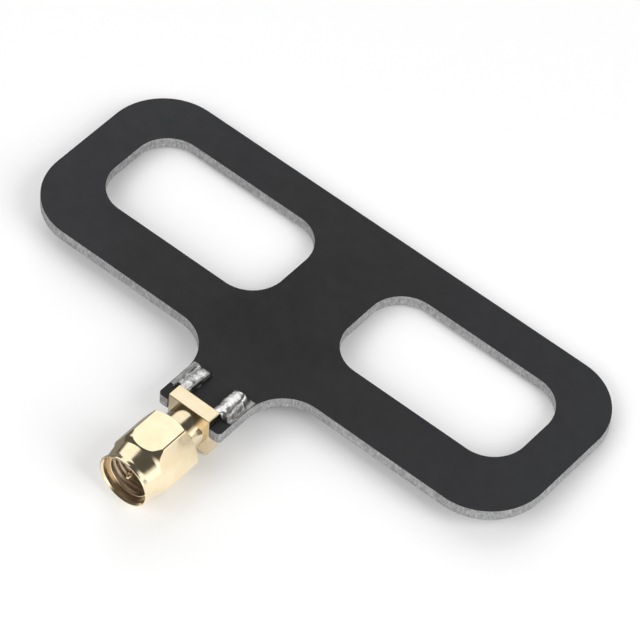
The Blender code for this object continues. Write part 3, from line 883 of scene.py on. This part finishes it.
# The coupling nut is turned from hexagon bar, plated like the pin, and spins on the split ring.
# Its flats run out in arcs where the turned cone meets them, behind a waisted collar and a thin rim.
# Inside the rim come a short chamfer, a counterbore, a narrow lip and a fine thread.
nut_low, nut_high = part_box("coupling_nut")
nut_front, nut_rear = nut_low.y, nut_high.y
flat_r = nut_high.z
corner_r = flat_r / math.cos(math.pi / 6)
corner_edge = 0.35 * mm
corner_front = 1.40 * mm
brow_r = 4.28 * mm
brow_front = 0.06 * mm
shoulder_r = 3.88 * mm
shoulder_front = -0.44 * mm
rear_chamfer = 0.62 * mm
rear_break = 0.12 * mm
waist_r = 3.49 * mm
waist_setback = 0.85 * mm
rim_r = 3.66 * mm
rim_width = 0.22 * mm
rim_edge = 0.07 * mm
mouth_lip = 0.10 * mm
mouth_chamfer = 0.25 * mm
mouth_r = 3.28 * mm
mouth_depth = 1.00 * mm
lip_width = 0.22 * mm
lip_edge = 0.10 * mm
thread_minor_r = 2.80 * mm
thread_major_r = 3.16 * mm
threads_per_inch = 36
thread_pitch = 25.4 / threads_per_inch * mm
thread_rear = 2.23 * mm
nut_bore_r = 2.76 * mm
nut_groove_r = 3.06 * mm
nut_groove_half = 0.32 * mm
fine_edge = 0.03 * mm
mouth_edge = 0.1 * mm
rim_back_edge = 0.12 * mm
waist_edge = 0.9 * mm
shoulder_edge = 0.3 * mm
brow_edge = 1.2 * mm
rear_edge = 0.12 * mm
bore_edge = 0.1 * mm
crest_share = 0.15
root_share = 0.95
helix_steps = 96
nut_steps = 192
bore_smooth = 0.28
bore_rough = 0.40
# The bore's gold is darker than the plating outside: painted shade in the recess.
bore_shade_pale = (0.66, 0.52, 0.38, 1)
bore_shade_deep = (0.54, 0.41, 0.29, 1)


def hexagon_bar():
    """Hexagon bar with its long edges rounded, flats up and down."""
    corners = [(corner_r * math.cos(math.pi / 3 * k), corner_r * math.sin(math.pi / 3 * k), corner_edge)
               for k in range(6)]
    ring = rounded(corners)
    bm = bmesh.new()
    ends = [[bm.verts.new((point.x, y, point.y)) for point in ring]
            for y in (nut_front - overrun, nut_rear + overrun)]
    for index in range(len(ring)):
        bm.faces.new((ends[0][index - 1], ends[0][index], ends[1][index], ends[1][index - 1]))
    bm.faces.new(ends[0])
    bm.faces.new(ends[1])
    return as_mesh("hexagon_bar", bm)


def thread_tree():
    """A ridge swept along a helix; the section is a triangle with a flat crest."""
    titles = ("Radius", "Length", "Turns", "Depth", "Root width")
    tree, sockets, given = start_tree("coupling_thread", titles)
    nodes, links = tree.nodes, tree.links
    helix = nodes.new("GeometryNodeCurveSpiral")
    helix.inputs["Resolution"].default_value = helix_steps
    tilt = nodes.new("GeometryNodeSetCurveNormal")
    tilt.mode = "Z_UP"
    section = nodes.new("GeometryNodeCurvePrimitiveQuadrilateral")
    section.mode = "TRAPEZOID"
    section.inputs["Offset"].default_value = 0
    crest = math_node(tree, "MULTIPLY", given.outputs["Root width"], crest_share)
    turn = nodes.new("GeometryNodeTransform")
    turn.inputs["Rotation"].default_value = (0, 0, -math.pi / 2)
    sweep = nodes.new("GeometryNodeCurveToMesh")
    sweep.inputs["Fill Caps"].default_value = True
    stand = nodes.new("GeometryNodeTransform")
    stand.inputs["Rotation"].default_value = (math.pi / 2, 0, 0)
    for name in ("Start Radius", "End Radius"):
        links.new(given.outputs["Radius"], helix.inputs[name])
    links.new(given.outputs["Length"], helix.inputs["Height"])
    links.new(given.outputs["Turns"], helix.inputs["Rotations"])
    links.new(given.outputs["Root width"], section.inputs["Bottom Width"])
    links.new(crest, section.inputs["Top Width"])
    links.new(given.outputs["Depth"], section.inputs["Height"])
    links.new(helix.outputs["Curve"], tilt.inputs["Curve"])
    links.new(section.outputs["Curve"], turn.inputs["Geometry"])
    links.new(tilt.outputs["Curve"], sweep.inputs["Curve"])
    links.new(turn.outputs["Geometry"], sweep.inputs["Profile Curve"])
    links.new(sweep.outputs["Mesh"], stand.inputs["Geometry"])
    end_tree(tree, given, stand.outputs["Geometry"])
    return tree, sockets


def paint_bore_shade(mesh, material):
    """Gives the bore and the counterbore a rougher gold that is darker as painted shade, but not the lip
    between them.
    """
    mesh.materials.append(material)
    lip = nut_front + mouth_depth
    for face in mesh.polygons:
        inside = math.hypot(face.center.x, face.center.z) < mouth_r + seat
        face.material_index = int(inside and abs(face.center.y - lip) > lip_edge)


# The bore, the counterbore and the thread get a rougher gold, darkened as painted shade.
shaded_bore_gold = gold_finish("gold_painted_shade_in_bore", bore_shade_deep, bore_shade_pale, bore_smooth, bore_rough)
lip_rear = nut_front + mouth_depth + lip_width + lip_edge
nut_line = fillets([
    (thread_major_r, lip_rear + lip_edge, 0), (thread_minor_r, lip_rear - lip_edge, fine_edge),
    (thread_minor_r, nut_front + mouth_depth, lip_edge), (mouth_r, nut_front + mouth_depth, 0),
    (mouth_r, nut_front + mouth_chamfer, mouth_edge), (rim_r - rim_edge - mouth_lip, nut_front, fine_edge),
    (rim_r, nut_front, rim_edge), (rim_r, nut_front + rim_width, rim_back_edge),
    (waist_r, nut_front + waist_setback, waist_edge), (shoulder_r, shoulder_front, shoulder_edge),
    (brow_r, brow_front, brow_edge), (corner_r, corner_front, 0),
    (corner_r, nut_rear - rear_chamfer, 0), (flat_r - rear_break, nut_rear, rear_edge),
    (nut_bore_r, nut_rear, bore_edge),
    (nut_bore_r, groove_y + nut_groove_half, 0), (nut_groove_r, groove_y + nut_groove_half, 0),
    (nut_groove_r, groove_y - nut_groove_half, 0), (nut_bore_r, groove_y - nut_groove_half, 0),
    (nut_bore_r, thread_rear, 0), (thread_major_r, thread_rear, 0)])
nut_mesh = combined("nut", turned("blank", nut_line, nut_steps), (hexagon_bar(), "INTERSECT"))
smooth_to(nut_mesh, milled_crease)
nut_piece = add_piece("gold_coupling_nut", nut_mesh, "nut", "gold_plate", gold, "coupling_nut")
paint_bore_shade(nut_piece.data, shaded_bore_gold)
thread_length = thread_rear - lip_rear
helix_tree, helix_socket = thread_tree()
thread_mesh = grown("thread", [(0, 0, 0)], helix_tree, {
    helix_socket["Radius"]: (thread_major_r + thread_minor_r) / 2,
    helix_socket["Length"]: thread_length - thread_pitch,
    helix_socket["Turns"]: (thread_length - thread_pitch) / thread_pitch,
    helix_socket["Depth"]: thread_major_r - thread_minor_r,
    helix_socket["Root width"]: thread_pitch * root_share,
    helix_socket["Finish"]: shaded_bore_gold})
thread_mesh.transform(Matrix.Translation((0, thread_rear - thread_pitch / 2, 0)))
# The thread has the bore's gold, darkened as painted shade.
add_piece("coupling_thread", smooth_to(clean(thread_mesh), turned_crease), "nut", "gold_plate", shaded_bore_gold)

# The stage is a white table that the nut and the far edge of the board both touch, so it leans a little.
# It shows white to the eye and keeps the part's soft shadow. Seen from below it is clear.
# In the bright metal's reflections only, it is painted dark left of the plug and glows pale to the right: a
# painted reflection.
table_slope = (bottom_low.z + flat_r) / (core_high.y - nut_rear + rear_chamfer)
table_half = 0.9
table_white = (0.86, 0.86, 0.86, 1)
# Painted reflection: a colour and a glow that only the metal's reflections see, shade on the left and light
# on the right.
reflected_table_shade = (0.16, 0.15, 0.14, 1)
painted_mirror_fade = (-2 * mm, -9 * mm)
table_glow = 0.10
painted_mirror_glow = 0.18
mix_first, mix_second, mix_result = 6, 7, 2


def seen_directly(tree):
    """1 for what the eye sees itself, mirrored or through glass, else 0."""
    path = tree.nodes.new("ShaderNodeLightPath")
    seen = path.outputs["Is Camera Ray"]
    for name in ("Is Glossy Ray", "Is Transmission Ray"):
        seen = math_node(tree, "MAXIMUM", seen, path.outputs[name])
    return seen


def table_finish():
    """Matt white with a faint glow above, clear below; in reflections, painted shade on its left and a
    painted glow on its right.
    """
    material = bpy.data.materials.new("white_table")
    material.use_nodes = True
    tree, nodes, links = material.node_tree, material.node_tree.nodes, material.node_tree.links
    nodes.clear()
    matt, glow, clear = (nodes.new(kind) for kind in (
        "ShaderNodeBsdfDiffuse", "ShaderNodeEmission", "ShaderNodeBsdfTransparent"))
    place, part = nodes.new("ShaderNodeTexCoord"), nodes.new("ShaderNodeSeparateXYZ")
    links.new(place.outputs["Object"], part.inputs[0])
    glossy = nodes.new("ShaderNodeLightPath").outputs["Is Glossy Ray"]
    # Painted shade on the table's left, seen only in reflections.
    mirror_shading_share = math_node(tree, "MULTIPLY", glossy, fade_node(tree, part.outputs["X"], *painted_mirror_fade))
    colour = nodes.new("ShaderNodeMix")
    colour.data_type = "RGBA"
    links.new(mirror_shading_share, colour.inputs["Factor"])
    colour.inputs[mix_first].default_value = table_white
    colour.inputs[mix_second].default_value = reflected_table_shade
    links.new(colour.outputs[mix_result], matt.inputs["Color"])
    level = math_node(tree, "MULTIPLY", seen_directly(tree), table_glow)
    # Where reflections see no painted shade they see a painted pale glow.
    pale = math_node(tree, "SUBTRACT", glossy, mirror_shading_share)
    links.new(math_node(tree, "MULTIPLY_ADD", pale, painted_mirror_glow, level), glow.inputs["Strength"])
    both, sides = nodes.new("ShaderNodeAddShader"), nodes.new("ShaderNodeMixShader")
    links.new(matt.outputs[0], both.inputs[0])
    links.new(glow.outputs[0], both.inputs[1])
    links.new(nodes.new("ShaderNodeNewGeometry").outputs["Backfacing"], sides.inputs[0])
    links.new(both.outputs[0], sides.inputs[1])
    links.new(clear.outputs[0], sides.inputs[2])
    links.new(sides.outputs[0], nodes.new("ShaderNodeOutputMaterial").inputs["Surface"])
    return material


table_mesh = bpy.data.meshes.new("table")
table_corners = [(x, y, bottom_low.z + (y - core_high.y) * table_slope)
                 for x, y in ((-table_half, -table_half), (table_half, -table_half),
                              (table_half, table_half), (-table_half, table_half))]
table_mesh.from_pydata(table_corners, [], [(0, 1, 2, 3)])
table_mesh.materials.append(table_finish())
table = in_scene("table", table_mesh)

# Soft studio light comes from a large panel behind on the left, one on the right and one in front.
# Of these the metal mirrors only the large one. Its room is bright low on the right, dark elsewhere.
# The eye itself sees plain white behind the part.
room_light = 0.21
room_dark = 0.10
room_bright = 1.5
room_low = (0.62, 0.34)
room_right = (0.25, 0.50)
white = (1, 1, 1, 1)
panels = [("panel_behind", (-0.60, 0.36, 0.72), 0.75, 0.66, 1.24, True),
          ("panel_right", (0.79, 0.0, 0.62), 0.34, 0.40, 5.2, False),
          ("panel_front", (-0.21, -0.79, 0.57), 0.60, 0.40, 2.8, False)]
panel_distance = 0.62


def light_room():
    """Even light on the part, but its own pattern in the metal and plain white to the eye."""
    world = bpy.data.worlds.new("room")
    bpy.context.scene.world = world
    world.use_nodes = True
    tree = world.node_tree
    nodes, links = tree.nodes, tree.links
    nodes.clear()
    place, part = nodes.new("ShaderNodeTexCoord"), nodes.new("ShaderNodeSeparateXYZ")
    links.new(place.outputs["Generated"], part.inputs[0])
    low = fade_node(tree, part.outputs["Z"], *room_low, top=room_bright)
    right = fade_node(tree, part.outputs["X"], *room_right)
    lit, shown, behind = (nodes.new("ShaderNodeBackground") for _ in range(3))
    for background in (lit, shown, behind):
        background.inputs["Color"].default_value = white
    lit.inputs["Strength"].default_value = room_light
    links.new(math_node(tree, "MULTIPLY_ADD", low, right, room_dark), shown.inputs["Strength"])
    to_eye = nodes.new("ShaderNodeLightPath").outputs["Is Camera Ray"]
    surface = lit.outputs[0]
    for share, background in ((seen_directly(tree), shown), (to_eye, behind)):
        choose = nodes.new("ShaderNodeMixShader")
        links.new(share, choose.inputs[0])
        links.new(surface, choose.inputs[1])
        links.new(background.outputs[0], choose.inputs[2])
        surface = choose.outputs[0]
    links.new(surface, nodes.new("ShaderNodeOutputWorld").inputs["Surface"])


light_room()
light_target = Vector((0, 20 * mm, 0))
for name, direction, width, height, brightness, mirrored in panels:
    lamp = bpy.data.lights.new(name, "AREA")
    lamp.shape = "RECTANGLE"
    lamp.size, lamp.size_y = width, height
    lamp.energy = brightness * math.pi * width * height
    panel = in_scene(name, lamp)
    away = Vector(direction).normalized()
    panel.location = light_target + away * panel_distance
    panel.rotation_euler = away.to_track_quat("Z", "Y").to_euler()
    panel.visible_glossy = mirrored

# The camera stands to the right in front of the plug and looks down at the board, rolled a little.
# Its long lens, over half a metre away, keeps the board's sides nearly parallel.
camera_azimuth = math.radians(35.78)
camera_elevation = math.radians(49.935)
camera_roll = math.radians(5.566)
camera_distance = 554.0 * mm
camera_target = Vector((1.777 * mm, 30.539 * mm, top_high.z))
camera_data = bpy.data.cameras.new("camera")
camera_data.sensor_width = 36
camera_data.lens = 258.0
camera_data.clip_start = 0.01
camera_data.clip_end = 10
camera = in_scene("camera", camera_data)
backward = Vector((math.sin(camera_azimuth) * math.cos(camera_elevation),
                   -math.cos(camera_azimuth) * math.cos(camera_elevation), math.sin(camera_elevation)))
level = Vector((math.cos(camera_azimuth), math.sin(camera_azimuth), 0))
upright = backward.cross(level)
rightward = level * math.cos(camera_roll) + upright * math.sin(camera_roll)
upward = upright * math.cos(camera_roll) - level * math.sin(camera_roll)
camera.matrix_world = Matrix.Translation(camera_target + backward * camera_distance) @ Matrix(
    (rightward, upward, backward)).transposed().to_4x4()
bpy.context.scene.camera = camera
bpy.context.scene.view_settings.view_transform = "Standard"
